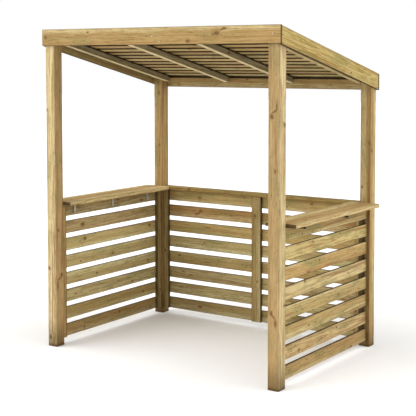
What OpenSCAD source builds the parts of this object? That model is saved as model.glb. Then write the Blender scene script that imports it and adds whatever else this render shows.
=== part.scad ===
// Barbecue shelter: an open softwood frame that stands on four posts. A roof of slats in two
// layers slopes down to the back inside a box of fascia boards. The two sides and the back are closed
// up to worktop height by slatted panels. A shelf lies on each side panel, and a capping rail
// lies on the back one.
//
// The origin is on the floor at the middle of the four posts. +X is to the right of someone
// who faces the open front, +Y is to the back and +Z is up. Lengths are in millimetres.

/* [Frame] */
// Width over the outer faces of the posts
frame_w = 1850; // [1300:10:2600]
// Depth over the outer faces of the posts
frame_d = 1276; // [900:2:1800]
// Width and depth of each square post
post_side = 78; // [60:1:110]
// Height of the front fascia's top edge above the floor
front_h = 2170; // [1780:10:2700]
// How much lower the back fascia's top edge is than the front one's
roof_fall = 299; // [120:1:400]

/* [Fascia] */
// Upright height of the fascia boards
fascia_h = 110; // [95:1:160]
// Thickness of the fascia boards
fascia_t = 16; // [10:1:28]

/* [Roof] */
// Width of each rafter
rafter_w = 44; // [30:1:60]
// Upright height of each rafter
rafter_h = 48; // [36:1:60]
// Depth from front to back of the two cross beams
beam_w = 44; // [30:1:60]
// Height of the two cross beams
beam_h = 42; // [30:1:60]
// Width of each roof slat
roof_slat_w = 62; // [40:1:100]
// Thickness of each roof slat
roof_slat_t = 16; // [10:1:24]
// Least gap beside each roof slat
roof_slat_gap = 34; // [8:1:60]
// How far each cover slat, which closes the gap between two roof slats, laps onto them
cover_lap = 13; // [6:1:24]
// Thickness of each cover slat
cover_slat_t = 16; // [10:1:20]
// How far the fascia boards stand above the cover slats
fascia_proud = 1; // [0:1:8]

/* [Panels] */
// Gap from the floor to the lowest panel slat
panel_foot = 42; // [20:1:120]
// Distance from the outer face of a post to the outer face of a panel's slats
panel_inset = 25; // [8:1:34]
// Height of each panel slat
panel_slat_h = 86; // [60:1:120]
// Thickness of each panel slat
panel_slat_t = 16; // [10:1:22]
// Least gap between panel slats
panel_slat_gap = 34; // [12:1:60]
// Thickness of the upright battens that the panel slats are fixed to
batten_t = 22; // [14:1:30]
// Width of the battens at the ends of a panel
end_batten_w = 45; // [30:1:70]
// Width of the batten in the middle of the back panel
mid_batten_w = 80; // [50:1:120]

/* [Shelves] */
// Height of the shelves' top face above the floor
shelf_top = 995; // [800:5:1250]
// Thickness of the shelves and the capping rail
shelf_t = 25; // [16:1:40]
// Width of each shelf
shelf_w = 215; // [176:1:320]
// How far each shelf reaches beyond the outer face of the posts
shelf_reach = 71; // [56:1:90]

/* [Brackets] */
// Width of the brackets, which are folded from steel sheet
bracket_w = 17; // [12:1:40]
// Thickness of the brackets' steel
bracket_t = 3; // [2:0.5:4]
// How far every bracket reaches out under the shelf
bracket_reach = 60; // [40:1:72]
// How far an inner bracket hangs down its panel
inner_bracket_drop = 70; // [40:1:80]
// Depth of an inner bracket's folded sides
inner_bracket_depth = 10; // [8:1:30]
// Depth of an outer bracket's folded sides
outer_bracket_depth = 25; // [12:1:40]
// How many brackets hold a shelf on the inner side of its panel
inner_bracket_n = 3; // [2:1:5]
// Distance from the ends of a shelf to the middle of the nearest inner bracket
inner_bracket_end = 150; // [90:5:220]
// Distance from the front end of a shelf to the middle of the first outer bracket
outer_bracket_start = 178; // [60:1:300]
// Distance between the two outer brackets
outer_bracket_pitch = 556; // [200:1:640]

/* [Hidden] */

// How far a cut runs past an open face.
cut_over = 1;

// Outer faces of the posts, measured from the middle of the frame.
half_w = frame_w / 2;
half_d = frame_d / 2;
// Inner faces of the posts, where the panels, the shelves and the cross beams end.
bay_half_w = half_w - post_side;
bay_half_d = half_d - post_side;

// The roof falls evenly between the outer faces of the front and back fascias.
roof_slope = roof_fall / (frame_d + 2 * fascia_t);
roof_angle = atan(roof_slope);
// Upright heights of a roof slat and a cover slat, which lean.
roof_slat_upright = roof_slat_t / cos(roof_angle);
cover_slat_upright = cover_slat_t / cos(roof_angle);
// The roof slats share the depth between the fascias, with an equal gap beside each one.
roof_slat_plan_w = roof_slat_w * cos(roof_angle);
roof_slat_n = floor((frame_d - roof_slat_gap) / (roof_slat_plan_w + roof_slat_gap));
roof_slat_pitch = (frame_d + roof_slat_plan_w) / (roof_slat_n + 1);
// A cover slat spans a gap and laps onto the slats beside it.
roof_gap_plan_w = roof_slat_pitch - roof_slat_plan_w;
cover_slat_w = roof_gap_plan_w / cos(roof_angle) + 2 * cover_lap;
cover_slat_plan_w = cover_slat_w * cos(roof_angle);
// Four rafters stand at even distances, the outer two against the inner faces of the posts.
rafter_n = 4;
outer_rafter_x = bay_half_w - rafter_w / 2;
rafter_pitch = 2 * outer_rafter_x / (rafter_n - 1);

// The panels reach from above the floor to the underside of the shelves.
panel_top = shelf_top - shelf_t;
panel_h = panel_top - panel_foot;
panel_slat_n = floor((panel_h + panel_slat_gap) / (panel_slat_h + panel_slat_gap));
panel_slat_pitch = (panel_h - panel_slat_h) / (panel_slat_n - 1);
// Distances of a panel's layers from the posts' outer faces: the slats' inner faces, which the
// battens touch, and the battens' inner faces.
slat_inner = panel_inset + panel_slat_t;
batten_inner = slat_inner + batten_t;

// Height of the fascias' top line at a distance y from the middle of the frame.
function fascia_line(y) = front_h - roof_slope * (y + half_d + fascia_t);
// Height of the roof slats' underside at y, where the rafters and the posts end, and of their
// top, where the cover slats lie.
function slat_seat(y) = cover_seat(y) - roof_slat_upright;
function cover_seat(y) = fascia_line(y) - fascia_proud - cover_slat_upright;

// A box between two opposite corners.
module block(low, high) {
    translate(low) cube(high - low);
}

// A slab between x0 and x1 whose side view has the given points, each [y, z].
module side_profile(x0, x1, points) {
    translate([x0, 0, 0])
        rotate([90, 0, 90])
            linear_extrude(x1 - x0)
                polygon(points);
}

// A post on the side (-1 left, 1 right) and at the end (-1 front, 1 back), cut to the roof's
// slope at its top.
module post(side, end) {
    x0 = min(side * half_w, side * bay_half_w);
    y0 = min(end * half_d, end * bay_half_d);
    y1 = y0 + post_side;
    color("burlywood")
        side_profile(x0, x0 + post_side,
            [[y0, 0], [y1, 0], [y1, slat_seat(y1)], [y0, slat_seat(y0)]]);
}

// A level fascia board across the whole width, at the end (-1 front, 1 back), with its top edge
// at the height top.
module end_fascia(end, top) {
    x1 = half_w + fascia_t;
    y0 = end * half_d + (end < 0 ? -fascia_t : 0);
    color("tan")
        block([-x1, y0, top - fascia_h], [x1, y0 + fascia_t, top]);
}

// A sloping fascia board on the side (-1 left, 1 right), outside the posts and between the
// front and back fascias.
module side_fascia(side) {
    x0 = side * half_w + (side < 0 ? -fascia_t : 0);
    color("tan")
        side_profile(x0, x0 + fascia_t, [
            [-half_d, fascia_line(-half_d) - fascia_h],
            [half_d, fascia_line(half_d) - fascia_h],
            [half_d, fascia_line(half_d)],
            [-half_d, fascia_line(-half_d)]
        ]);
}

// A level beam between two posts, behind the fascia at the end (-1 front, 1 back). Its rear top
// edge meets the plane that the slats lie on.
module roof_beam(end) {
    y0 = end * half_d + (end < 0 ? 0 : -beam_w);
    top = slat_seat(y0 + beam_w);
    color("peru")
        block([-bay_half_w, y0, top - beam_h], [bay_half_w, y0 + beam_w, top]);
}

// A sloping rafter between the two beams, counted from the left.
module rafter(index) {
    x0 = -outer_rafter_x + index * rafter_pitch - rafter_w / 2;
    y1 = half_d - beam_w;
    color("peru")
        side_profile(x0, x0 + rafter_w, [
            [-y1, slat_seat(-y1) - rafter_h],
            [y1, slat_seat(y1) - rafter_h],
            [y1, slat_seat(y1)],
            [-y1, slat_seat(-y1)]
        ]);
}

// A slat that leans with the roof and runs from one side fascia to the other. Its lower front
// edge is at y and z.
module leaning_slat(y, z, width, thickness) {
    translate([-half_w, y, z])
        rotate([-roof_angle, 0, 0])
            cube([frame_w, width, thickness]);
}

// The lower layer of the roof. Its slats lie on the rafters and the posts.
module roof_slats() {
    color("burlywood")
        for (index = [1 : roof_slat_n]) {
            y0 = -half_d + index * roof_slat_pitch - roof_slat_plan_w;
            leaning_slat(y0, slat_seat(y0), roof_slat_w, roof_slat_t);
        }
}

// The upper layer of the roof. Each slat covers a gap in the lower layer, and the first and the
// last one touch the fascias.
module roof_cover_slats() {
    last_y0 = half_d - cover_slat_plan_w - cover_slat_t * sin(roof_angle);
    color("tan")
        for (index = [0 : roof_slat_n]) {
            gap_middle = -half_d + index * roof_slat_pitch + roof_gap_plan_w / 2;
            y0 = max(-half_d, min(gap_middle - cover_slat_plan_w / 2, last_y0));
            leaning_slat(y0, cover_seat(y0), cover_slat_w, cover_slat_t);
        }
}

// The slats of a side panel (-1 left, 1 right), between the front and back posts.
module side_panel_slats(side) {
    x0 = min(side * (half_w - panel_inset), side * (half_w - slat_inner));
    color("burlywood")
        for (index = [0 : panel_slat_n - 1]) {
            z0 = panel_foot + index * panel_slat_pitch;
            block([x0, -bay_half_d, z0], [x0 + panel_slat_t, bay_half_d, z0 + panel_slat_h]);
        }
}

// An upright batten on the inner side of a side panel (-1 left, 1 right), against the post at
// the end (-1 front, 1 back).
module side_panel_batten(side, end) {
    x0 = min(side * (half_w - slat_inner), side * (half_w - batten_inner));
    y0 = min(end * bay_half_d, end * (bay_half_d - end_batten_w));
    color("peru")
        block([x0, y0, panel_foot], [x0 + batten_t, y0 + end_batten_w, panel_top]);
}

// The slats of the back panel, between the two back posts.
module back_panel_slats() {
    y1 = half_d - panel_inset;
    color("burlywood")
        for (index = [0 : panel_slat_n - 1]) {
            z0 = panel_foot + index * panel_slat_pitch;
            block([-bay_half_w, y1 - panel_slat_t, z0], [bay_half_w, y1, z0 + panel_slat_h]);
        }
}

// An upright batten on the inner side of the back panel, against a post (-1 left, 1 right) or
// in the middle (0).
module back_panel_batten(place) {
    width = place == 0 ? mid_batten_w : end_batten_w;
    x0 = place * (bay_half_w - width / 2) - width / 2;
    y1 = half_d - slat_inner;
    color("peru")
        block([x0, y1 - batten_t, panel_foot], [x0 + width, y1, panel_top]);
}

// The shelf on a side panel (-1 left, 1 right), between the front and back posts.
module shelf(side) {
    outer = half_w + shelf_reach;
    x0 = min(side * outer, side * (outer - shelf_w));
    color("wheat")
        block([x0, -bay_half_d, panel_top], [x0 + shelf_w, bay_half_d, shelf_top]);
}

// The rail that caps the back panel, flush with both faces of the posts.
module back_capping_rail() {
    color("wheat")
        block([-bay_half_w, bay_half_d, panel_top], [bay_half_w, half_d, shelf_top]);
}

// A solid of the given width whose side view, seen along Y, has the given points, each [x, z].
// It is centred on the plane y = 0.
module side_view(width, points) {
    rotate([90, 0, 0])
        linear_extrude(width, center = true)
            polygon(points);
}

// An inner bracket: a steel channel bent to an L. Its corner is at the origin, one leg hangs
// down on the plane x = 0 and the other lies along +X under the shelf. It is open towards both.
module inner_bracket() {
    hollow_depth = inner_bracket_depth - bracket_t;
    difference() {
        side_view(bracket_w, [
            [0, 0], [0, -inner_bracket_drop], [inner_bracket_depth, -inner_bracket_drop],
            [inner_bracket_depth, -inner_bracket_depth],
            [bracket_reach, -inner_bracket_depth], [bracket_reach, 0]
        ]);
        side_view(bracket_w - 2 * bracket_t, [
            [-cut_over, cut_over], [-cut_over, -inner_bracket_drop + bracket_t],
            [hollow_depth, -inner_bracket_drop + bracket_t], [hollow_depth, -hollow_depth],
            [bracket_reach - bracket_t, -hollow_depth], [bracket_reach - bracket_t, cut_over]
        ]);
    }
}

// An outer bracket: a steel tray that is open below. Its top lies along +X under the shelf and
// its back is on the plane x = 0.
module outer_bracket() {
    difference() {
        side_view(bracket_w, [
            [0, 0], [0, -outer_bracket_depth], [bracket_reach, -outer_bracket_depth],
            [bracket_reach, 0]
        ]);
        side_view(bracket_w - 2 * bracket_t, [
            [bracket_t, -bracket_t], [bracket_t, -outer_bracket_depth - cut_over],
            [bracket_reach - bracket_t, -outer_bracket_depth - cut_over],
            [bracket_reach - bracket_t, -bracket_t]
        ]);
    }
}

// The brackets that hold up a shelf (-1 left, 1 right): an even row on the inner face of its
// panel's slats and two on the outer face.
module shelf_brackets(side) {
    row_half = bay_half_d - inner_bracket_end;
    color("silver") {
        for (index = [0 : inner_bracket_n - 1])
            translate([side * (half_w - slat_inner),
                -row_half + index * 2 * row_half / (inner_bracket_n - 1), panel_top])
                mirror([side > 0 ? 1 : 0, 0, 0])
                    inner_bracket();
        for (index = [0, 1])
            translate([side * (half_w - panel_inset),
                -bay_half_d + outer_bracket_start + index * outer_bracket_pitch, panel_top])
                mirror([side < 0 ? 1 : 0, 0, 0])
                    outer_bracket();
    }
}

post(-1, -1);  // front_left_post
post(1, -1);  // front_right_post
post(-1, 1);  // back_left_post
post(1, 1);  // back_right_post
end_fascia(-1, front_h);  // front_fascia
end_fascia(1, front_h - roof_fall);  // back_fascia
side_fascia(-1);  // left_fascia
side_fascia(1);  // right_fascia
roof_beam(-1);  // front_roof_beam
roof_beam(1);  // back_roof_beam
rafter(0);  // left_outer_rafter
rafter(1);  // left_inner_rafter
rafter(2);  // right_inner_rafter
rafter(3);  // right_outer_rafter
roof_slats();
roof_cover_slats();
side_panel_slats(-1);  // left_panel_slats
side_panel_batten(-1, -1);  // left_panel_front_batten
side_panel_batten(-1, 1);  // left_panel_back_batten
side_panel_slats(1);  // right_panel_slats
side_panel_batten(1, -1);  // right_panel_front_batten
side_panel_batten(1, 1);  // right_panel_back_batten
back_panel_slats();
back_panel_batten(-1);  // back_panel_left_batten
back_panel_batten(0);  // back_panel_middle_batten
back_panel_batten(1);  // back_panel_right_batten
shelf(-1);  // left_shelf
shelf(1);  // right_shelf
back_capping_rail();
shelf_brackets(-1);  // left_shelf_brackets
shelf_brackets(1);  // right_shelf_brackets
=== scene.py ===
"""Barbecue shelter in pressure-treated softwood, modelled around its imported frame.

Every board is a rounded rectangle carried along its length, with its own grain, knots and tone.
The steel brackets under the shelves are folded strips. Lengths are in metres, the origin is on
the floor at the middle of the four posts, +X is to the right, +Y to the back and +Z up.
"""

import logging
import math
from dataclasses import dataclass, field
from enum import Enum
from functools import partial
from typing import Any, NamedTuple, Sequence

import bmesh
import bpy
import numpy as np
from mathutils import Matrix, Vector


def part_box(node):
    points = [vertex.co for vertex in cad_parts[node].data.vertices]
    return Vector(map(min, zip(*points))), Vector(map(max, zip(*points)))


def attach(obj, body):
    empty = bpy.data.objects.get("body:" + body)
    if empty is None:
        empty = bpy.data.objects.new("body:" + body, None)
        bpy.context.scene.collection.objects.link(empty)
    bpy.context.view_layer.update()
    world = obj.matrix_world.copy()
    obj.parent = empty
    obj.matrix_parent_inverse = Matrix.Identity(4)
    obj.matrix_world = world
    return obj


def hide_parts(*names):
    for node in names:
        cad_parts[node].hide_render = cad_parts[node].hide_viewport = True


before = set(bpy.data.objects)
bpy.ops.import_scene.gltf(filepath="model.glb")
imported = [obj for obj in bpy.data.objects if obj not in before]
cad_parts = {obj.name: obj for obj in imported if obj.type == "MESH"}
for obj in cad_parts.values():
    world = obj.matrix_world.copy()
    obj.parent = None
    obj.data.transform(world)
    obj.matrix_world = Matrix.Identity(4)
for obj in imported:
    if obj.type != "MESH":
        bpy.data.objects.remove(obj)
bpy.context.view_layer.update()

LOG = logging.getLogger("barbecue_shelter")
MM = 0.001
Array = np.ndarray
Colour = tuple[float, float, float, float]
Material = bpy.types.Material
Piece = bpy.types.Object
Socket = bpy.types.NodeSocket
Vector3 = tuple[float, float, float]
LEFT, RIGHT = (-1.0, 0.0, 0.0), (1.0, 0.0, 0.0)
FRONT, REAR = (0.0, -1.0, 0.0), (0.0, 1.0, 0.0)
UP, NOWHERE = (0.0, 0.0, 1.0), (0.0, 0.0, 0.0)
RAFTERS = ("left_outer", "left_inner", "right_inner", "right_outer")

# The kinds of shader node, each with its type name and its settings.
ADD, SUBTRACT, MULTIPLY, MULTIPLY_ADD, DIVIDE, FRACTION, ROOT, ABSOLUTE, MAXIMUM = (
    ("ShaderNodeMath", {"operation": name})
    for name in ("ADD", "SUBTRACT", "MULTIPLY", "MULTIPLY_ADD", "DIVIDE", "FRACT", "SQRT",
                 "ABSOLUTE", "MAXIMUM"))
STRETCH, DOT, LENGTH = (("ShaderNodeVectorMath", {"operation": name})
                        for name in ("MULTIPLY", "DOT_PRODUCT", "LENGTH"))
RANGE, FADE = (("ShaderNodeMapRange", {"interpolation_type": name})
               for name in ("LINEAR", "SMOOTHSTEP"))
MIX = ("ShaderNodeMix", {"data_type": "RGBA"})
ATTRIBUTE, SPLIT, JOIN, NOISE, CELLS, PLACE, HUE, BUMP, SHADER, OUTPUT = (
    (f"ShaderNode{name}", {})
    for name in ("Attribute", "SeparateXYZ", "CombineXYZ", "TexNoise", "TexVoronoi", "TexCoord",
                 "HueSaturation", "Bump", "BsdfPrincipled", "OutputMaterial"))


# ---- colours and nodes


def linear(hex_colour: str) -> Colour:
    """Turn an sRGB hex colour into linear light.

    Args:
        hex_colour: The colour as "#rrggbb".

    Returns:
        Red, green and blue in linear light, and an alpha of 1.
    """
    shares = [int(hex_colour[start:start + 2], 16) / 255.0 for start in (1, 3, 5)]
    red, green, blue = (
        share / 12.92 if share <= 0.04045 else ((share + 0.055) / 1.055) ** 2.4
        for share in shares)
    return red, green, blue, 1.0


def add_node(tree: bpy.types.NodeTree, kind: tuple[str, dict[str, str]], *values: Any,
             inputs: dict[int | str, Any] | None = None, output: int | str = 0,
             **settings: Any) -> Socket:
    """Add a node to a tree, with its settings and links.

    Args:
        tree: The node tree.
        kind: Its type name and settings.
        *values: For each input in turn, a socket to link or a value to set.
        inputs: The same by the input's name or number.
        output: The output to hand back.
        **settings: More settings.

    Returns:
        That output.
    """
    node = tree.nodes.new(kind[0])
    for name, value in (kind[1] | settings).items():
        setattr(node, name, value)
    for key, value in (dict(enumerate(values)) | (inputs or {})).items():
        if isinstance(value, Socket):
            tree.links.new(value, node.inputs[key])
        else:
            node.inputs[key].default_value = value
    return node.outputs[output] if len(node.outputs) else node.inputs[0]


def new_material(name: str, slot: str = "") -> tuple[Material, partial]:
    """Make a node material with no nodes in it.

    Args:
        name: Its name.
        slot: The material slot of its pieces.

    Returns:
        The material, and what adds a node to it.
    """
    material = bpy.data.materials.new(name)
    material["slot"] = slot
    material.use_nodes = True
    material.node_tree.nodes.clear()
    return material, partial(add_node, material.node_tree)


# ---- finishes


@dataclass(frozen=True)
class Timber:
    """Pressure-treated pine, sawn and planed: matt warm tan with a green cast from the salts.

    The heartwood is a reddish tan and the sapwood a pale yellow. The darker late wood of each
    year shows as long arches and lines, the resin as broad reddish streaks, and the branches as
    brown knots that the grain parts around.
    """

    slot: str  # The boards' material slot
    name: str = ""
    sap: str = "#d3bd88"
    heart: str = "#b7965f"
    late: str = "#8f6c3c"
    streak: str = "#8a5c31"  # Resin-rich streaks
    green: str = "#857f4a"  # Salts that stayed on the surface
    rim: str = "#46321b"  # A knot's rim
    core: str = "#6f5030"  # A knot's middle
    speck: str = "#4a3520"  # Specks of resin
    end_grain_and_shade: str = "#352b18"  # Cut ends, which drink more of the salts, made darker still as painted shade
    crevice_shade: str = "#2a1d06"  # Painted shade between boards, in crevices and on faces that get little light
    panel_shade: str = "#2a1c0b"  # Painted shade on the posts' faces beside the side panels
    # Painted shade near the floor, with damp end grain at the foot
    foot_shade_and_damp: str = "#4a340f"
    # Distance between years. Real ones are 3 to 5 mm and would be too fine to show, so they are
    # drawn about twice as coarse.
    ring_mm: float = 9.0
    ring_share: float = 0.6  # How strongly the late wood shows
    streak_share: float = 0.6
    green_share: float = 0.45
    speck_share: float = 0.5
    foot_shade_and_damp_share: float = 0.0  # Of the painted shade in the lowest 200 mm, or 0 off the floor
    rough: tuple[float, float] = (0.7, 0.88)  # Of the smoothest and the coarsest fibres
    sheen: float = 0.3  # Little, as the wood is matt
    panel_end: float = 0.56  # The post faces beside the side panels, along Y
    panel_top: float = 0.965  # Height up to which those faces carry painted shade

    @staticmethod
    def _grain(node: partial) -> dict[str, Socket]:
        """Read the vertices' values, part the grain at knots, and add the noises.

        To about 3.7 radii from a knot, the distance across the grain shrinks towards the knot's
        middle line, so that the lines part around it.

        Args:
            node: Adds a node.

        Returns:
            The values and the noises by name.
        """
        grain = {}
        for vector, parts in (("grain", ("along", "across", "through")),
                              ("tone", ("value", "hue", "saturation")),
                              ("knot", ("knot_along", "knot_across", "knot_through")),
                              ("mark", ("near", "end", "knot_size"))):
            grain[vector] = node(ATTRIBUTE, output="Vector", attribute_name=vector)
            grain.update(zip(parts, node(SPLIT, grain[vector]).node.outputs))
        for share in ("arris", "heart", "stain"):
            grain[share] = node(ATTRIBUTE, output="Fac", attribute_name=share)

        grain["squared"] = node(DOT, grain["knot"], grain["knot"], output="Value")
        push = node(FADE, grain["squared"], 0.0, 14.0, 1.0, 0.0)
        for factor in ("near", "knot_size", "knot_across"):
            push = node(MULTIPLY, push, grain[factor])
        grain["across"] = node(SUBTRACT, grain["across"], push)
        grain["flow"] = node(JOIN, grain["along"], grain["across"], grain["through"])

        # Repeats for each metre along, across and through: a waver, streaks 26 mm wide, lines
        # 8 mm wide, patches 70 mm wide, and fibres. Real fibres are finer than a millimetre and
        # would not show, so they are drawn 4 mm wide.
        for label, along, across, detail in (
            ("waver", 2.4, 9.0, 1.0), ("streak", 1.5, 38.0, 2.0), ("line", 11.0, 125.0, 2.0),
            ("patch", 4.0, 14.0, 3.0), ("fibre", 36.0, 250.0, 2.0),
        ):
            place = node(STRETCH, grain["flow"], (along, across, across))
            grain[label] = node(NOISE, inputs={"Vector": place, "Scale": 1.0, "Detail": detail})
        return grain

    def material(self) -> Material:
        """Lay knots, specks 5 mm wide, cut ends, painted shade between boards and beside the side
        panels, and painted shade with damp near the floor over the clear wood.

        The years are the distance from the pith plus a taper along the board and a slow waver,
        cut into equal rings. The heartwood ends at its own radius, over 16 mm.

        Returns:
            The material.
        """
        material, node = new_material(self.name or f"treated_pine_{self.slot}", self.slot)
        grain = self._grain(node)
        waver = node(ADD, grain["across"], node(MULTIPLY_ADD, grain["waver"], 0.03, -0.015))
        section = node(JOIN, 0.0, waver, grain["through"])
        radius = node(LENGTH, section, output="Value")
        years = node(MULTIPLY_ADD, grain["along"], 0.012, radius)
        year = node(FRACTION, node(DIVIDE, years, self.ring_mm * MM))
        late = node(FADE, year, 0.3, 0.92)
        depth = node(SUBTRACT, radius, grain["heart"])
        depth = node(MULTIPLY_ADD, grain["streak"], 0.05, depth)
        line = node(MULTIPLY_ADD, grain["line"], 1.7, -1.35)
        line = node(MULTIPLY_ADD, grain["fibre"], 1.1, line)
        line = node(MULTIPLY_ADD, late, self.ring_share, line, use_clamp=True)
        colour = linear(self.heart)
        for amount, tint in (
            (node(FADE, depth, 17 * MM, 33 * MM), self.sap), (line, self.late),
            (node(FADE, grain["streak"], 0.5, 0.72, 0.0, self.streak_share), self.streak),
            (node(FADE, grain["patch"], 0.48, 0.7, 0.0, self.green_share), self.green),
        ):
            colour = node(MIX, inputs={0: amount, 6: colour, 7: linear(tint)}, output=2)
        colour = node(HUE, inputs={"Hue": grain["hue"], "Saturation": grain["saturation"],
                                   "Value": grain["value"], "Color": colour})

        distance = node(MULTIPLY_ADD, grain["line"], 0.5, node(ROOT, grain["squared"]))
        core = node(MIX, inputs={0: node(FADE, distance, 0.6, 1.15), 6: linear(self.core),
                                 7: linear(self.rim)}, output=2)
        layers = [(node(MULTIPLY, node(FADE, distance, inner, outer, strength, 0.0),
                        grain["near"]), tint)
                  for inner, outer, strength, tint in ((1.1, 3.2, 0.5, linear(self.streak)),
                                                       (0.9, 1.6, 0.8, core))]
        place = node(STRETCH, grain["flow"], (22.0, 60.0, 60.0))
        speck = node(CELLS, inputs={"Vector": place, "Scale": 1.0})
        speck = node(FADE, speck, 0.08, 0.28, self.speck_share, 0.0)
        gate = node(RANGE, grain["patch"], 0.44, 0.56)
        layers.append((node(MULTIPLY, speck, gate), linear(self.speck)))
        # Of these layers, the cut ends are partly painted shade and the last layer is wholly
        # painted shade, between boards and on faces that get little light.
        layers += [(node(MULTIPLY, grain[share], strength), linear(tint))
                   for share, strength, tint in (("end", 0.95, self.end_grain_and_shade),
                                                 ("arris", 0.3, self.late),
                                                 ("stain", 0.92, self.crevice_shade))]
        if self.foot_shade_and_damp_share > 0.0:
            place = node(PLACE, output="Object")
            beside, height = (node(SPLIT, place, output=axis) for axis in (1, 2))
            # Painted shade on the post faces beside the side panels, below the shelves.
            beside = node(RANGE, node(ABSOLUTE, beside), self.panel_end,
                          self.panel_end + 2 * MM, 0.25, 0.0)
            below = node(RANGE, height, self.panel_top, self.panel_top + 20 * MM, 1.0, 0.0)
            layers.append((node(MULTIPLY, beside, below), linear(self.panel_shade)))
            # Darker towards the floor: painted shade over the lowest 200 mm, and at the foot a
            # painted contact shadow with damp end grain.
            height = node(MULTIPLY_ADD, grain["line"], 0.03, height)
            layers += [(node(FADE, height, low, high, strength, 0.0), linear(self.foot_shade_and_damp))
                       for low, high, strength in ((0.03, 0.23, self.foot_shade_and_damp_share),
                                                   (0.02, 0.045, 0.8))]
        for amount, tint in layers:
            colour = node(MIX, inputs={0: amount, 6: colour, 7: tint}, output=2)

        relief = node(MULTIPLY_ADD, late, 0.5, grain["fibre"])
        bump = node(BUMP, inputs={"Strength": 0.5, "Distance": 0.6 * MM, "Height": relief})
        shader = node(SHADER, inputs={
            "Base Color": colour, "Roughness": node(RANGE, grain["line"], 0.3, 0.7, *self.rough),
            "IOR": 1.45, "Normal": bump, "Specular IOR Level": self.sheen})
        node(OUTPUT, shader)
        return material


@dataclass(frozen=True)
class ZincSteel:
    """Zinc-plated mild steel, pressed and folded: cool grey with a soft satin gloss."""

    name: str = "zinc_plated_steel"
    bright: str = "#d2d2cc"  # Fresh plating
    dull: str = "#a3a29b"  # Patches that have dulled
    grain_mm: float = 6.0  # Width of the cloudy patches
    rough: tuple[float, float] = (0.34, 0.52)  # Of the bright and of the dull plating

    def material(self) -> Material:
        """Build the plated steel from a cloudy noise that sets its colour and its gloss.

        Returns:
            The material.
        """
        material, node = new_material(self.name, "bracket_steel")
        cloud = node(NOISE, inputs={"Vector": node(PLACE, output="Object"),
                                    "Scale": 1.0 / (self.grain_mm * MM), "Detail": 3.0})
        colour = node(MIX, inputs={0: cloud, 6: linear(self.bright), 7: linear(self.dull)},
                      output=2)
        node(OUTPUT, node(SHADER, inputs={
            "Base Color": colour, "Metallic": 1.0,
            "Roughness": node(RANGE, cloud, 0.3, 0.7, *self.rough)}))
        return material


# ---- boards


class Cast(Enum):
    """The cast of a board's colour, as the hue's turn, where 0.5 is none, and its saturation."""

    REDDISH = (0.494, 1.05)
    TAN = (0.503, 1.0)
    DRY = (0.503, 0.93)
    OLIVE = (0.513, 0.96)
    GREENISH = (0.523, 0.88)
    GOLDEN = (0.505, 1.18)
    STRAW = (0.507, 1.06)
    HONEY = (0.501, 1.45)


class PaintedShade(Enum):
    """Where painted shade darkens a board: between boards, in crevices and on faces that get
    little light.
    """

    NONE = 0
    EDGES = 1  # Its narrow faces
    BACK = 2  # Those and the face at the far end of the through direction
    TOP = 3
    SIDES = 4  # The top and more weakly the sides


class Knot(NamedTuple):
    """A knot in millimetres, which goes through to both faces unless its reach is short."""

    at: float  # From the board's start
    off: float  # Across from its middle line
    radius: float
    stretch: float  # How many times longer it is along the grain
    deep: float = 0.0  # Through from the board's middle
    reach: float = 1000.0  # Half its depth through the board


@dataclass(frozen=True)
class Look:
    """What gives one board its own figure."""

    seed: int
    value: float = 1.0  # Share of the finish's lightness
    cast: Cast = Cast.TAN
    knots: tuple[tuple[float, ...], ...] | None = None  # Each Knot's fields, or scattered
    heart: float = 55.0  # Radius of the heartwood around the pith, in millimetres
    pith: tuple[float, float] | None = None  # Across and through from the middle, likewise

    def knot_list(self, length: float, width: float, spacing: float = 0.45) -> list[Knot]:
        """List the board's knots, or scatter small ones with clear wood between them.

        Args:
            length: The board's length.
            width: Its width.
            spacing: Mean distance between scattered knots.

        Returns:
            The knots.
        """
        if self.knots is not None:
            return [Knot(*row) for row in self.knots]
        rng = np.random.default_rng(1000 + self.seed)
        knots, at = [], rng.uniform(0.1, 1.0) * spacing
        while at < length - 60 * MM:
            knots.append(Knot(at / MM, rng.uniform(-0.36, 0.36) * width / MM,
                              rng.uniform(3.0, 6.0), rng.uniform(1.2, 1.9)))
            at += rng.uniform(0.6, 1.5) * spacing
        return knots


@dataclass(frozen=True)
class Patch:
    """A closed surface and what its material reads at each vertex."""

    points: Array
    faces: list[tuple[int, ...]]  # Corner numbers, counter-clockwise from outside
    normals: Array | None = None  # None to work them out from the faces
    values: dict[str, Array] = field(default_factory=dict)


def ring_faces(rings: int, columns: int) -> list[tuple[int, ...]]:
    """List the faces of rings that close around, with a cap on the first and the last.

    Args:
        rings: How many rings.
        columns: How many points in each.

    Returns:
        The corner numbers of each face.
    """
    column = np.arange(columns)
    ring = columns * np.arange(rings - 1)[:, None]
    near, after = ring + column, ring + np.roll(column, -1)
    corners = np.stack([near, after, after + columns, near + columns], axis=2)
    return [*map(tuple, corners.reshape(-1, 4).tolist()), tuple(column[::-1].tolist()),
            tuple((column + (rings - 1) * columns).tolist())]


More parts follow.
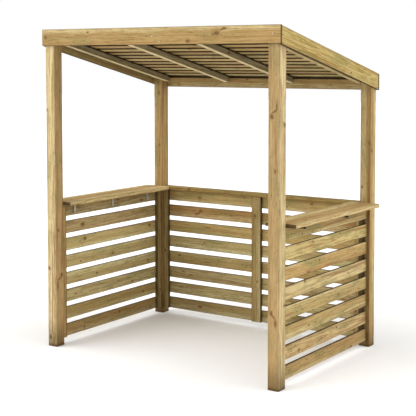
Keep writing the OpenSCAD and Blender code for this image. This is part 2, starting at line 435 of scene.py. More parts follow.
@dataclass(frozen=True)
class Board:
    """A straight board: a rounded rectangle carried along its length between two flat cuts."""

    centre: Vector3  # Halfway between its cuts on its middle line
    along: Vector3
    across: Vector3
    length: float
    width: float
    thickness: float
    look: Look
    cut_across: float = 0.0  # How far both cuts move along for each metre across
    cut_through: float = 0.0  # How far the end cut moves for each metre through
    arris: float = 2.5 * MM  # Radius of its planed edges
    # Painted shade on some of its faces, between boards and where light is blocked
    stain: PaintedShade = PaintedShade.NONE
    station: float = 25 * MM  # Distance between its cross sections

    @classmethod
    def filling(cls, box: Sequence[Any], along: Vector3, across: Vector3, look: Look,
                **more: Any) -> "Board":
        """Make a square-cut board that fills a box.

        Args:
            box: The box's lowest and highest corners.
            along: Direction of its length.
            across: Direction of its width.
            look: Its figure.
            **more: Its other fields.

        Returns:
            The board.
        """
        low, high = np.array(box[0]), np.array(box[1])
        sizes = (float((high - low) @ np.abs(way))
                 for way in (along, across, np.cross(along, across)))
        return cls(tuple((low + high) / 2), along, across, *sizes, look, **more)

    def _stain(self, plane: Array) -> Array:
        """Work out how far painted shade darkens each point of the sections.

        The narrow faces' painted shade fades out round the arris. The top's is 2 down to the
        arris' foot, so that half of the fade to the next row of points is full.

        Args:
            plane: The points' places across and through.

        Returns:
            Shares from 0 up, where 1 is full.
        """
        depth = self.width / 2 - np.abs(plane[..., 0])
        if self.stain is PaintedShade.NONE:
            return np.zeros(depth.shape)
        if self.stain in (PaintedShade.EDGES, PaintedShade.BACK):
            share = np.clip(1.2 - depth / self.arris, 0, 1)
            if self.stain is PaintedShade.EDGES:
                return share
            behind = plane[..., 1] > self.thickness / 2 - 0.5 * self.arris
            return np.where(behind, 0.95, np.clip(share + 0.3, 0, 0.85) * (depth < 8 * MM))
        below = 0.7 if self.stain is PaintedShade.SIDES else 0.0
        share = np.where(plane[..., 0] > self.width / 2 - 1.5 * self.arris, 2.0, below)
        return np.where(plane[..., 0] < 0.5 * self.arris - self.width / 2, 0.0, share)

    def _profile(self, inset: float) -> tuple[Array, Array, Array]:
        """Work out the cross section: a rectangle whose corners are quarter circles.

        Each side has two more points inside its arcs, where the worn edge fades out.

        Args:
            inset: How far the section lies inside the full one.

        Returns:
            The points' places across and through, their normals, and 1 where one is on an arris.
        """
        half = np.array([self.width, self.thickness]) / 2 - inset
        bend = max(1.2 * self.arris - inset, 0.2 * self.arris)
        fade = min(4 * self.arris, 0.7 * self.thickness / 2)
        places, normals = [], []
        for quarter, corner in enumerate(((1, 1), (-1, 1), (-1, -1), (1, -1))):
            angle = np.radians([0.0, 30.0, 60.0, 90.0]) + quarter * math.pi / 2
            arc = np.stack([np.cos(angle), np.sin(angle)], axis=1)
            first, last = arc[:1], arc[-1:]
            middle = (half - bend) * np.array(corner)
            places += [middle + bend * first - last * fade, middle + bend * arc,
                       middle + bend * last - first * fade]
            normals += [first, arc, last]
        edge = np.tile([0.0, 1.0, 1.0, 1.0, 1.0, 0.0], 4)
        return np.concatenate(places), np.concatenate(normals), edge

    def _knots(self, local: Array) -> tuple[Array, Array]:
        """Place each point by the knot that is nearest along the board.

        Args:
            local: The points' distances along, across and through from the board's middle.

        Returns:
            Their distances from the knot's middle in its radii, and their marks: 1 near a
            knot, 0 for the end grain, and the knot's radius.
        """
        far_off, reach_of_knot = 9.0, 5.0
        knot, mark = np.full(local.shape, far_off), np.zeros(local.shape)
        knots = self.look.knot_list(self.length, self.width)
        if knots:
            start = local + [self.length / 2, 0.0, 0.0]
            table = np.array(knots) * [MM, MM, MM, 1.0, MM, MM]
            gap = np.abs(start[..., 0].mean(axis=1)[:, None] - table[:, 0])
            at, off, radius, stretch, deep, reach = table[gap.argmin(axis=1)].T
            middle = np.stack([at, off, deep], axis=1)[:, None]
            knot = (start - middle) / np.stack([radius * stretch, radius, reach], axis=1)[:, None]
            mark[..., 0] = np.abs(knot[..., 0].mean(axis=1, keepdims=True)) < reach_of_knot
            mark[..., 2] = radius[:, None]
        return knot, mark

    def patch(self) -> Patch:
        """Carry the section along the board.

        A point's place is the centre plus along, across and through times its distances. The
        distance along is a share of the way between the two cuts, which are planes. The last
        three rings at each end draw in on a quarter circle.

        Returns:
            The board's surface and its values.
        """
        axes = np.array([self.along, self.across, np.cross(self.along, self.across)])
        count = max(int(self.length / self.station), 2)
        corner = np.radians([90.0, 45.0, 0.0])
        sink, back = self.arris * (1 - np.cos(corner)), self.arris * (1 - np.sin(corner))
        level = np.zeros(count - 1)
        shares = np.concatenate([[0.0] * 3, np.linspace(0.0, 1.0, count + 1)[1:-1], [1.0] * 3])
        offsets = np.concatenate([back, level, -back[::-1]])
        tilt = np.concatenate([-np.sin(corner), level, np.sin(corner)[::-1]])
        ends = np.concatenate([[1.0, 0.6, 0.0], level, [0.0, 0.6, 1.0]])
        sections = [self._profile(inset) for inset in (*sink, *level, *sink[::-1])]
        plane, side, edge = (np.stack(rows) for rows in zip(*sections))

        first = -self.length / 2 + self.cut_across * plane[..., 0]
        last = first + self.length + self.cut_through * plane[..., 1]
        distance = first + (last - first) * shares[:, None] + offsets[:, None]
        local = np.concatenate([distance[..., None], plane], axis=2)

        cut = [1.0, -self.cut_across, 0.0] + np.outer(tilt > 0, [0.0, 0.0, -self.cut_through])
        cut *= (tilt / np.linalg.norm(cut, axis=1))[:, None]
        normal = np.pad(side, ((0, 0), (0, 0), (1, 0))) \
            * np.sqrt(1 - tilt ** 2)[:, None, None] + cut[:, None]

        # The pith runs beside the board, so that the wide face shows arches.
        rng = np.random.default_rng(self.look.seed)
        pith = (rng.uniform(-0.4, 0.4) * self.width / MM,
                rng.choice([-1, 1]) * rng.uniform(24.0, 72.0))
        shift = rng.uniform(0.0, 40.0)
        across, through = self.look.pith or pith
        knot, mark = self._knots(local)
        mark[..., 1] = ends[:, None]
        values = {
            "grain": local + [shift, -across * MM, -through * MM],
            "tone": np.broadcast_to([self.look.value, *self.look.cast.value], local.shape),
            "arris": edge,
            "stain": self._stain(plane),
            "heart": np.full(edge.shape, self.look.heart * MM),
            "knot": knot,
            "mark": mark,
        }
        rings, columns = edge.shape
        return Patch((self.centre + local @ axes).reshape(-1, 3), ring_faces(rings, columns),
                     (normal @ axes).reshape(-1, 3),
                     {name: rows.reshape(rings * columns, -1) for name, rows in values.items()})


def make_piece(name: str, patches: Sequence[Patch], material: Material, *nodes: str) -> Piece:
    """Put patches into one named piece that rides on the frame.

    Args:
        name: Its name.
        patches: The closed surfaces that it is made of.
        material: Its material, which knows its slot.
        *nodes: The CAD nodes that it stands for.

    Returns:
        The piece.
    """
    starts = np.cumsum([0] + [len(patch.points) for patch in patches])
    faces = [tuple(int(start) + corner for corner in face)
             for start, patch in zip(starts, patches) for face in patch.faces]
    mesh = bpy.data.meshes.new(name)
    mesh.from_pydata(np.concatenate([patch.points for patch in patches]), [], faces)
    for label in patches[0].values:
        rows = np.concatenate([patch.values[label] for patch in patches]).astype(np.float32)
        kind, key = ("FLOAT", "value") if rows.shape[1] == 1 else ("FLOAT_VECTOR", "vector")
        mesh.attributes.new(label, kind, "POINT").data.foreach_set(key, rows.ravel())
    mesh.shade_smooth()
    if patches[0].normals is None:
        shell = bmesh.new()
        shell.from_mesh(mesh)
        bmesh.ops.recalc_face_normals(shell, faces=shell.faces)
        shell.to_mesh(mesh)
        shell.free()
    else:
        mesh.normals_split_custom_set_from_vertices(
            np.concatenate([patch.normals for patch in patches]))
    mesh.materials.append(material)
    piece = bpy.data.objects.new(name, mesh)
    bpy.context.scene.collection.objects.link(piece)
    if nodes:
        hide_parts(*nodes)
    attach(piece, "root")
    LOG.info("%s: %d vertices, %d faces", name, len(mesh.vertices), len(mesh.polygons))
    return piece


def timber_piece(node: str, boards: Sequence[Board], finish: Material) -> Piece:
    """Make the piece that stands for a CAD node from its boards."""
    return make_piece(f"{node}_timber", [board.patch() for board in boards], finish, node)


@dataclass(frozen=True)
class Screws:
    """Countersunk cross-head screws whose heads stand a little proud of the wood."""

    name: str
    material: Material
    radius: float = 4 * MM
    proud: float = 0.4 * MM  # How far the heads stand out
    columns: int = 12  # Points around a head

    def patch(self, place: Vector3, way: Vector3) -> Patch:
        """Turn a head's profile about its axis.

        A point's distance from the axis is its ring's share of the radius, which in the two
        rings of the recess swells four times around by a cosine. That makes the cross.

        Args:
            place: Middle of the head on the face of the wood.
            way: Direction that it faces.

        Returns:
            The head's surface.
        """
        # Each ring's share, height, lobes and lean.
        shares, heights, lobes, degrees = np.array(
            [(1.0, -2.0, 0.0, 0.0), (1.0, 0.5, 0.0, 30.0), (0.9, 1.0, 0.0, 75.0),
             (0.55, 1.0, 0.42, 60.0), (0.4, 0.4, 0.42, 90.0)]).T[..., None]
        turn = 2 * math.pi * np.arange(self.columns) / self.columns
        distance = self.radius * shares * (1 + lobes * np.cos(4 * turn))
        first = np.roll(np.abs(way), 1)
        circle = np.cos(turn)[:, None] * first + np.sin(turn)[:, None] * np.cross(way, first)
        tilt = np.radians(degrees)[..., None]
        points = place + distance[..., None] * circle + self.proud * heights[..., None] * way
        normals = np.cos(tilt) * circle + np.sin(tilt) * way
        return Patch(points.reshape(-1, 3), ring_faces(len(shares), self.columns),
                     normals.reshape(-1, 3))

    def build(self, spots: Sequence[tuple[Vector3, Vector3]]) -> Piece:
        """Build heads at places on the wood, each with the way it faces, as one piece."""
        return make_piece(self.name, [self.patch(*spot) for spot in spots], self.material)


# ---- the boards' figures

REDDISH, TAN, DRY, OLIVE, GREENISH, GOLDEN, STRAW, HONEY = Cast

# Each row is a Look's fields in turn. Knots are placed from the start of their board, which is
# its left or front end or its foot, in millimetres.
LOOKS: dict[str, Look] = {name: Look(*row) for name, row in {
    "front_left_post": (10, 1.06, DRY, (
        (64, -16, 7, 1.6), (425, 39, 8, 3.0, -22, 5), (492, 39, 12, 0.9, 15, 9),
        (540, -22, 7, 1.5), (804, 39, 10, 0.8, -15, 6), (1626, -30, 6, 1.4)),
        55, (36, 22)),
    "front_right_post": (11, 0.955, DRY, (
        (408, 14, 6, 3.4), (456, -15, 7, 3.0), (505, 39, 12, 0.8, 26, 9), (1311, 11, 6, 2.0),
        (1585, 39, 20, 0.55, 22, 11), (1628, -14, 9, 2.0), (1686, 20, 4, 6.0)), 50,
        (-18, -30)),
    "back_left_post": (12, 0.83, TAN, None, 70, (30, 10)),
    "back_right_post": (13, 0.89, TAN, (
        (1401, 28, 6, 2.6, -30, 14), (1350, 39, 7, 1.5, -20, 10), (1100, -20, 5, 1.6)), 30,
        (36, -32)),
    "front_fascia": (20, 0.88, TAN, (
        (33, 1, 8, 1.3), (408, 29, 5, 1.6), (1217, -35, 7, 1.5), (1432, 10, 10, 1.6),
        (1480, 38, 6, 3.6)), 60),
    "back_fascia": (21, 0.8),
    "left_fascia": (22, 0.85, OLIVE),
    "right_fascia": (23, 0.72, GOLDEN, (
        (120, -20, 3, 1.4), (445, 50, 4, 1.5), (900, -30, 5, 1.5)), 0),
    "front_roof_beam": (24, 0.6, OLIVE),
    "back_roof_beam": (25, 0.8),
    "left_outer_rafter": (26, 0.8, GOLDEN, None, 0),
    "left_inner_rafter": (27, 0.95, GOLDEN, None, 0),
    "right_inner_rafter": (28, 0.87, GOLDEN, None, 0),
    "right_outer_rafter": (29, 0.6, HONEY, None, 0),
    "left_panel_front_batten": (70, 0.85),
    "left_panel_back_batten": (71, 0.85, OLIVE),
    "right_panel_front_batten": (72, 0.85),
    "right_panel_back_batten": (73, 0.85, OLIVE),
    "back_panel_left_batten": (74, 0.85, OLIVE),
    "back_panel_middle_batten": (75, 0.79, OLIVE, ((300, 10, 5, 1.4), (785, -10, 8, 1.4))),
    "back_panel_right_batten": (76, 0.85, OLIVE),
    "left_shelf": (130,),
    "right_shelf": (131, 0.99, TAN, ((199, 56, 7, 1.5), (800, -30, 6, 1.6)), 66),
    "back_capping_rail": (132, 0.57, GOLDEN, ((253, -33, 7, 2.6), (1000, 10, 5, 1.4))),
}.items()}

# The slats of each panel, from the lowest up. The seeds count up from the panel's own number.
PANEL_LOOKS: dict[str, list[Look]] = {
    panel: [Look(seed + index, *row) for index, row in enumerate(rows)]
    for panel, seed, rows in (
        ("left_panel", 50, (
            (0.77, TAN), (0.89, OLIVE), (0.86, OLIVE), (1.06, GREENISH),
            (1.10, GREENISH, ((214, -20, 4, 1.4), (565, -15, 5, 1.5))),
            (1.21, GREENISH, ((261, 15, 8, 1.5), (1003, 17, 8, 1.5))),
            (0.74, REDDISH, ((236, 0, 10, 1.6), (800, 20, 4, 1.4))),
            (0.64, TAN))),
        ("right_panel", 80, (
            (0.81, TAN, ((300, 20, 4, 1.4), (895, -33, 7, 1.5))),
            (0.84, REDDISH, ((205, -19, 7, 1.2), (700, 20, 4, 1.4)), 70),
            (0.92, OLIVE), (0.90, OLIVE),
            (0.89, TAN, ((275, 36, 5, 1.5), (850, -10, 4, 1.5)), 50),
            (1.01, TAN, ((319, -41, 9, 1.3), (459, 18, 4, 2.0)), 70),
            (0.91, STRAW, ((374, 27, 4, 1.4), (733, 32, 4, 1.4))),
            (0.93, OLIVE))),
        ("back_panel", 100, (
            (0.70, OLIVE, ((328, 0, 9, 1.5),)),
            (0.78, OLIVE, ((140, 12, 3, 2.0), (206, 20, 3, 2.6))),
            (0.72, TAN, ((168, 14, 4, 1.8), (234, -8, 3, 2.4))),
            (0.88, OLIVE),
            (1.0, GREENISH, ((370, 15, 3, 3.0),)),
            (1.05, OLIVE, ((400, 12, 3, 7.0),)),
            (0.82, REDDISH, ((300, -10, 5, 3.4), (330, 14, 7, 2.0), (1200, -10, 6, 1.5))),
            (0.96, OLIVE, ((327, -5, 8, 1.4), (1300, 20, 6, 1.5))))))
}

# The roof's slats, from the front one to the back one. The cover slats lie with their heart side
# down, and their near-black heartwood is painted shade in the gaps of the lower layer.
ROOF_LOOKS = [Look(150 + index, (1.0, 1.15, 0.85)[index % 3],
                   (OLIVE, TAN, GREENISH, TAN)[index % 4]) for index in range(13)]
COVER_LOOKS = [Look(170 + index, (0.95, 0.88, 1.0)[index % 3], OLIVE, None, 60, (0, -62))
               for index in range(14)]


# ---- sub-assemblies


class Side(Enum):
    """A side of the shelter, seen from its open front, as its direction along X."""

    LEFT = -1.0
    RIGHT = 1.0


@dataclass(frozen=True)
class RoofPlane:
    """The plane in which the roof falls to the back."""

    slope: float  # Fall for each metre towards the back
    run: Vector3  # Direction down the slope
    rise: Vector3  # Direction up from the slope, square to it

    @classmethod
    def from_fascias(cls) -> "RoofPlane":
        """Take the slope from the top edges of the front and back fascias.

        Returns:
            The plane.
        """
        front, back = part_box("front_fascia"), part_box("back_fascia")
        slope = (front[1].z - back[1].z) / (back[1].y - front[0].y)
        level, fall = math.cos(math.atan(slope)), math.sin(math.atan(slope))
        return cls(slope, (0.0, level, -fall), (0.0, fall, level))


@dataclass
class Posts:
    """The four square posts, cut to the roof's slope at their tops."""

    material: Material
    plane: RoofPlane
    arris: float = 4 * MM

    def build(self) -> list[Piece]:
        """Build each post as a piece of its own.

        Returns:
            The pieces.
        """
        pieces = []
        for name in (f"{row}_{side}_post" for row in ("front", "back")
                     for side in ("left", "right")):
            low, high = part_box(name)
            height = high.z - self.plane.slope * (high.y - low.y) / 2
            middle = ((low.x + high.x) / 2, (low.y + high.y) / 2, height / 2)
            board = Board(middle, UP, RIGHT, height, high.x - low.x, high.y - low.y,
                          LOOKS[name], cut_through=-self.plane.slope, arris=self.arris)
            pieces.append(timber_piece(name, [board], self.material))
        return pieces


@dataclass
class RoofFrame:
    """The fascias, the two level beams and the four sloping rafters."""

    fascia: Material
    rafter: Material  # For the beams too
    screw: Material
    plane: RoofPlane
    set_in: float = 0.4 * MM  # How far the fascias' faces lie behind their screw heads
    # Screws by their places along X and above the fascia's foot.
    front_screws: tuple[tuple[float, float], ...] = (
        (-0.004, 0.053), (0.056, 0.019), (0.885, 0.057))
    back_screws: tuple[tuple[float, float], ...] = (
        (-0.885, 0.03), (-0.885, 0.08), (0.0, 0.055), (0.885, 0.03), (0.885, 0.08))
    # Along Y and below the top edge.
    side_screws: tuple[tuple[float, float], ...] = ((0.596, 0.058), (-0.598, 0.052))

    def build(self) -> list[Piece]:
        """Build each board as a piece of its own, level or down the slope, and the screws.

        Returns:
            The pieces.
        """
        pieces, spots = [], []
        slope, run = self.plane.slope, self.plane.run
        for name, way, marks in (
            ("front_fascia", FRONT, self.front_screws), ("back_fascia", REAR, self.back_screws),
            ("left_fascia", LEFT, self.side_screws), ("right_fascia", RIGHT, self.side_screws),
            *((f"{place}_roof_beam", NOWHERE, ()) for place in ("front", "back")),
            *((f"{place}_rafter", NOWHERE, ()) for place in RAFTERS),
        ):
            low, high = (np.array(corner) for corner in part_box(name))
            low -= self.set_in * np.minimum(way, 0.0)
            high -= self.set_in * np.maximum(way, 0.0)
            # Painted shade on the fascias' narrow faces, on the rafters' tops and more weakly
            # their sides, and on the beams' tops.
            stain = PaintedShade.EDGES if marks else PaintedShade.SIDES if "rafter" in name else PaintedShade.TOP
            wide, deep, tall = (float(size) for size in high - low)
            if wide > deep:
                board = Board.filling((low, high), RIGHT, UP, LOOKS[name], stain=stain)
                face = high[1] if way is REAR else low[1]
                spots += [((at, face, low[2] + up), way) for at, up in marks]
            else:
                board = Board(tuple((low + high) / 2), run, self.plane.rise, deep / run[1],
                              (tall - slope * deep) * run[1], wide, LOOKS[name],
                              cut_across=-slope, stain=stain)
                face = high[0] if way is RIGHT else low[0]
                spots += [((face, at, high[2] - slope * (at - low[1]) - down), way)
                          for at, down in marks]
            pieces.append(timber_piece(name, [board], self.fascia if marks else self.rafter))
        return pieces + [Screws("fascia_screws", self.screw).build(spots)]


@dataclass
class RoofSlats:
    """The roof's two layers of slats, which lie across the rafters.

    The slats of the lower layer have gaps between them, and each slat of the upper layer covers
    one gap.
    """

    material: Material
    cover: Material
    screw: Material
    plane: RoofPlane
    width: float = 62 * MM  # Of a lower slat
    thickness: float = 16 * MM  # Of every slat
    lap: float = 13 * MM  # How far a cover slat laps onto its neighbours

    def _layer(self, node: str, starts: Array, width: float, looks: list[Look]) -> list[Board]:
        """Lay slats on the slope.

        Each slat's middle lies half its width down the slope and half its thickness up from
        its lower front edge, and that edge falls with the roof from the first slat's.

        Args:
            node: The layer's CAD node.
            starts: Places of their lower front edges along Y.
            width: Their width.
            looks: Their figures.

        Returns:
            The slats.
        """
        low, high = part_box(node)
        run, rise = np.array(self.plane.run), np.array(self.plane.rise)
        edge = high.z - self.thickness * rise[2] - self.plane.slope * (starts - starts[0])
        middles = np.stack([np.zeros(len(starts)), starts, edge], axis=1) \
            + run * width / 2 + rise * self.thickness / 2
        # Painted shade darkens each slat's narrow faces, between the slats.
        return [Board(tuple(middle), RIGHT, self.plane.run, high.x - low.x, width,
                      self.thickness, look, stain=PaintedShade.EDGES)
                for middle, look in zip(middles, looks)]

    def build(self) -> list[Piece]:
        """Build each layer as one piece, and the screws that hold the upper one.

        Returns:
            The pieces.
        """
        low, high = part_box("roof_slats")
        cover_low, cover_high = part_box("roof_cover_slats")
        _, level, fall = self.plane.run
        lean, plan = -self.thickness * fall, self.width * level
        pitch = (high.y - low.y - plan - lean) / (len(ROOF_LOOKS) - 1)
        starts = low.y + pitch * np.arange(len(COVER_LOOKS))
        lower = self._layer("roof_slats", starts[:-1], self.width, ROOF_LOOKS)
        gap = pitch - plan
        width = gap / level + 2 * self.lap
        starts = np.clip(starts - gap / 2 - width * level / 2, cover_low.y,
                         cover_high.y - width * level - lean)
        upper = self._layer("roof_cover_slats", starts, width, COVER_LOOKS)
        pieces = [timber_piece("roof_slats", lower, self.material),
                  timber_piece("roof_cover_slats", upper, self.cover)]

        rise = self.plane.rise
        tops = [slat.centre + np.array(rise) * self.thickness / 2 for slat in upper]
        spots = [((sum(corner.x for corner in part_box(f"{name}_rafter")) / 2, *top[1:]), rise)
                 for name in RAFTERS for top in tops]
        return pieces + [Screws("roof_screws", self.screw).build(spots)]


@dataclass
class Panel:
    """A slatted panel: level slats on upright battens, screwed together from the inside."""

    name: str  # Starts the names of its nodes
    along: Vector3
    inward: Vector3  # Towards the middle of the shelter
    battens: tuple[str, ...]
    slat: Material
    batten: Material
    screw: Material
    height: float = 86 * MM
    spread: float = 22 * MM  # From a slat's middle to its two screws

    def build(self) -> list[Piece]:
        """Build the slats as one piece, each batten as a piece of its own, and the screws.

        Returns:
            The pieces.
        """
        node, looks = f"{self.name}_slats", PANEL_LOOKS[self.name]
        low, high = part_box(node)
        feet = np.linspace(low.z, high.z - self.height, len(looks))
        # Painted shade darkens each slat's narrow faces, between the slats.
        slats = [Board.filling(((low.x, low.y, foot), (high.x, high.y, foot + self.height)),
                               self.along, UP, look, stain=PaintedShade.EDGES)
                 for foot, look in zip(feet, looks)]
        pieces = [timber_piece(node, slats, self.slat)]

        spots = []
        for name in (f"{self.name}_{place}_batten" for place in self.battens):
            # Painted shade darkens the batten's narrow faces and its face against the slats.
            batten = Board.filling(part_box(name), UP, tuple(np.cross(UP, self.inward)),
                                   LOOKS[name], stain=PaintedShade.BACK)
            pieces.append(timber_piece(name, [batten], self.batten))
            face = batten.centre + np.array(self.inward) * batten.thickness / 2
            spots += [((face[0], face[1], foot + self.height / 2 + up), self.inward)
                      for foot in feet for up in (-self.spread, self.spread)]
        return pieces + [Screws(f"{self.name}_screws", self.screw).build(spots)]


@dataclass
class Worktops:
    """The two shelves on the side panels and the capping rail on the back one."""

    material: Material
    arris: float = 3 * MM

    def build(self) -> list[Piece]:
        """Build each as a piece of its own.

        Returns:
            The pieces.
        """
        return [timber_piece(name, [Board.filling(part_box(name), along, across, LOOKS[name],
                                                  arris=self.arris)], self.material)
                for name, along, across in (
                    ("left_shelf", REAR, RIGHT), ("right_shelf", REAR, RIGHT),
                    ("back_capping_rail", RIGHT, REAR))]


@dataclass
class ShelfBrackets:
    """The folded steel brackets under the shelves.

    Inside a panel a channel bent to an L stands between the slats and the shelf, with its
    hollow against them. Outside a shallow tray, open below, carries the shelf's overhang; its
    dark steel is painted shade under the shelf.
    """

    material: Material  # For the screws too
    # Of the outer trays, whose dark steel is painted shade under the shelves
    outer_material: Material
    width: float = 17 * MM
    sheet: float = 3 * MM  # Thickness of the steel
    reach: float = 60 * MM  # Out under the shelf
    drop: float = 70 * MM  # Down the slats, of an inner bracket
    inner_depth: float = 10 * MM  # Of its folded sides
    outer_depth: float = 25 * MM  # Of an outer bracket's sides
    inner_places: tuple[float, ...] = (-0.41, 0.0, 0.41)  # Middles along Y
    outer_places: tuple[float, ...] = (-0.382, 0.174)
    screws_down: tuple[float, ...] = (26 * MM, 56 * MM)  # Below an inner bracket's top
    screw_radius: float = 3.2 * MM
    fold: float = 1.2 * MM  # Radius of the folds' outer edges

    def _hollow(self, outer: Array, sheets: Array, webs: int, place: Vector3,
                outward: float) -> Patch:
        """Close a hollow body between an outer and an inner side view.

        Both are closed loops. Their first edges carry the sheet's webs, and the hollow is open
        along the others. One quad for each edge joins the loops at the two widths.

        Args:
            outer: The outer loop's points, out from the slats and up.
            sheets: How many sheets each one moves to the hollow's loop.
            webs: How many edges carry a web.
            place: Place of the loops' origin.
            outward: 1 if the bracket reaches towards +X, or -1.

        Returns:
            The body.
        """
        count = len(outer)
        half, hollow = self.width / 2, self.width / 2 - self.sheet
        inner = outer + self.sheet * sheets
        loops = [np.stack([outward * loop[:, 0], np.full(count, y), loop[:, 1]], axis=1)
                 for loop, y in ((outer, -half), (outer, half), (inner, -hollow),
                                 (inner, hollow))]
        near, far, near_in, far_in = np.arange(4 * count).reshape(4, count)
        start = np.where(np.arange(count) < webs, [near, far, far_in, near_in],
                         [near, near_in, far_in, far])
        after = start - start % count + (start + 1) % count
        quads = np.stack([start[::2], start[1::2], after[1::2], after[::2]], axis=2)
        faces = [near, far[::-1], near_in[::-1], far_in, *quads.reshape(-1, 4),
                 (far[0], near[0], near_in[0], far_in[0]),
                 (near[webs], far[webs], far_in[webs], near_in[webs])]
        return Patch(np.concatenate(loops) + np.array(place),
                     [tuple(map(int, face)) for face in faces])

    def build(self, side: Side) -> list[Piece]:
        """Build one side's inner and outer brackets with rounded folds, and their screws.

        Args:
            side: The shelf's side.

        Returns:
            The pieces.
        """
        node = f"{side.name.lower()}_shelf_brackets"
        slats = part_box(f"{side.name.lower()}_panel_slats")
        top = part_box(node)[1].z
        outer_face, inner_face = slats[side is Side.RIGHT].x, slats[side is Side.LEFT].x
        out, reach, deep = side.value, self.reach, self.inner_depth
        angle = np.array([(0.0, -self.drop), (deep, -self.drop), (deep, -deep),
                          (reach, -deep), (reach, 0.0), (0.0, 0.0)])
        tray = np.array([(0.0, -self.outer_depth), (0.0, 0.0), (reach, 0.0),
                         (reach, -self.outer_depth)])
        angle_in = np.array([(0, 1), (-1, 1), (-1, 1), (-1, 1), (-1, 0), (0, 0)])
        tray_in = np.array([(1, 0), (1, -1), (-1, -1), (-1, 0)])
        angles = [self._hollow(angle, angle_in, 4, (inner_face, y, top), -out)
                  for y in self.inner_places]
        trays = [self._hollow(tray, tray_in, 3, (outer_face, y, top), out)
                 for y in self.outer_places]
        pieces = [make_piece(f"{node}_angles", angles, self.material, node),
                  make_piece(f"{node}_trays", trays, self.outer_material, node)]
        for piece in pieces:
            folds = piece.modifiers.new("folds", "BEVEL")
            folds.width, folds.segments = self.fold, 2
            folds.limit_method, folds.harden_normals = "ANGLE", True

        spots = [((inner_face - out * deep, y, top - down), (-out, 0.0, 0.0))
                 for y in self.inner_places for down in self.screws_down]
        spots += [((outer_face + out * reach, y, top - self.outer_depth / 2), (out, 0.0, 0.0))
                  for y in self.outer_places]
        screws = Screws(f"{node}_screws", self.material, self.screw_radius)
        return pieces + [screws.build(spots)]


# ---- studio


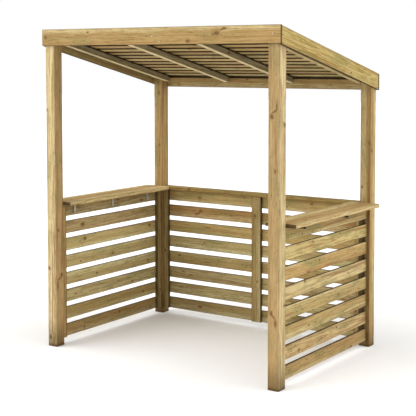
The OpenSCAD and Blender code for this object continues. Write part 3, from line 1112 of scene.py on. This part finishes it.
@dataclass(frozen=True)
class Studio:
    """A white floor, a white dome with three broad soft windows in it, and the camera."""

    # Each one's degrees to the right of the front, degrees up, and light at its middle.
    windows: tuple[Vector3, ...] = ((-50.0, 18.0, 2.68), (128.0, 12.0, 2.53),
                                    (30.0, 65.0, 0.9))
    fill: float = 0.15  # Light from the rest of the dome
    paper: Colour = (0.8, 0.79, 0.77, 1.0)  # As the light finds it
    seen_paper: Colour = (0.98, 0.98, 0.98, 1.0)  # As the camera finds it
    floor_size: float = 40.0  # From the middle to its edges
    camera_place: Vector3 = (4.0994, -5.9227, 1.9556)
    camera_turn: Vector3 = (math.pi / 2 - 0.06229, 0.0, 0.59506)
    lens_mm: float = 91.58  # On a sensor 36 mm wide
    lens_shift: tuple[float, float] = (-0.0342, -0.1938)  # Shares of that width

    @staticmethod
    def seen(node: partial) -> Socket:
        """Tell the rays that look, by camera, gloss or glass, from the rays that light.

        Args:
            node: Adds a node.

        Returns:
            1 for a ray that looks and 0 for the others.
        """
        rays = node(("ShaderNodeLightPath", {})).node.outputs
        looks = node(MAXIMUM, rays["Is Camera Ray"], rays["Is Glossy Ray"])
        return node(MAXIMUM, looks, rays["Is Transmission Ray"])

    def floor_material(self) -> Material:
        """Build white matt paper, which the camera sees lighter than the light does.

        Returns:
            The material.
        """
        material, node = new_material("studio_paper")
        papers = (node(("ShaderNodeBsdfDiffuse", {}), colour)
                  for colour in (self.paper, self.seen_paper))
        node(OUTPUT, node(("ShaderNodeMixShader", {}), self.seen(node), *papers))
        return material

    def dome(self) -> bpy.types.World:
        """Build the dome, whose light rises smoothly towards the middle of each window.

        The dot product of a direction and a window's middle tells how near they are. The rays
        that look see plain white.

        Returns:
            The world.
        """
        world = bpy.data.worlds.new("studio_dome")
        world.use_nodes = True
        world.node_tree.nodes.clear()
        node = partial(add_node, world.node_tree)
        way = node(PLACE, output="Generated")
        lit: Socket | float = self.fill
        for turn, rise, light in self.windows:
            turn, rise = math.radians(turn), math.radians(rise)
            middle = (math.cos(rise) * math.sin(turn), -math.cos(rise) * math.cos(turn),
                      math.sin(rise))
            near = node(DOT, way, middle, output="Value")
            lit = node(ADD, lit, node(FADE, near, 0.55, 0.9, 0.0, light))
        strength = node(RANGE, self.seen(node), 0.0, 1.0, lit, 1.0)
        node(("ShaderNodeOutputWorld", {}),
             node(("ShaderNodeBackground", {}), (1.0, 1.0, 1.0, 1.0), strength))
        return world

    def build(self) -> None:
        """Build the floor, the dome and the camera."""
        scene = bpy.context.scene
        mesh = bpy.data.meshes.new("studio_floor")
        mesh.from_pydata([(x * self.floor_size, y * self.floor_size, 0.0)
                          for x, y in ((-1, -1), (1, -1), (1, 1), (-1, 1))], [], [(0, 1, 2, 3)])
        mesh.materials.append(self.floor_material())
        floor = bpy.data.objects.new("studio_floor", mesh)
        scene.collection.objects.link(floor)
        scene.world = self.dome()

        lens = bpy.data.cameras.new("studio_camera")
        lens.sensor_width, lens.lens, lens.clip_end = 36.0, self.lens_mm, 200.0
        lens.shift_x, lens.shift_y = self.lens_shift
        camera = bpy.data.objects.new("studio_camera", lens)
        camera.location, camera.rotation_euler = self.camera_place, self.camera_turn
        scene.collection.objects.link(camera)
        scene.camera = camera
        scene.view_settings.view_transform = "Standard"


# ---- the shelter


def main() -> None:
    """Build the studio and the shelter's sub-assemblies in order, and log each piece."""
    logging.basicConfig(level=logging.INFO, format="%(message)s")
    Studio().build()
    posts, fascia, rafter, roof_slat, cover, slat, right_slat, batten, shelf = (
        finish.material() for finish in (
            Timber("post_timber", ring_share=0.55, streak_share=0.85, foot_shade_and_damp_share=0.6),
            Timber("fascia_timber", ring_share=0.45),
            # The rafters are all very pale sapwood: a painted reflection of the white floor on
            # their undersides, while their tops and sides carry painted shade.
            Timber("rafter_timber", sap="#f7e8c0", ring_share=0.3, streak_share=0.25,
                   green_share=0.25),
            Timber("roof_slat_timber"),
            # The cover's near-black heartwood is painted shade seen through the lower slats'
            # gaps.
            Timber("roof_slat_timber", name="treated_pine_roof_cover_painted_shade", heart="#21190f"),
            Timber("panel_slat_timber", ring_share=0.4, streak_share=0.45, speck_share=0.7),
            Timber("panel_slat_timber", name="treated_pine_right_panel", ring_share=0.5,
                   streak_share=0.75, green_share=0.65, speck_share=0.75),
            Timber("batten_timber"),
            Timber("shelf_timber")))
    # The outer trays' dark steel is painted shade under the shelves' overhang.
    zinc, passivated, black = (ZincSteel(*row).material() for row in (
        (), ("passivated_zinc_steel", "#b58d55", "#8a6436"),
        ("dark_steel_painted_shade", "#3a3733", "#1f1d1b")))
    plane = RoofPlane.from_fascias()
    pieces = Posts(posts, plane).build()
    pieces += RoofFrame(fascia, rafter, zinc, plane).build()
    pieces += RoofSlats(roof_slat, cover, zinc, plane).build()
    for name, along, inward, battens, finish in (
            ("left_panel", REAR, RIGHT, ("front", "back"), slat),
            ("right_panel", REAR, LEFT, ("front", "back"), right_slat),
            ("back_panel", RIGHT, FRONT, ("left", "middle", "right"), slat)):
        pieces += Panel(name, along, inward, battens, finish, batten, passivated).build()
    pieces += Worktops(shelf).build()
    for side in Side:
        pieces += ShelfBrackets(zinc, black).build(side)
    LOG.info("%d pieces", len(pieces))


if __name__ == "__main__":
    main()
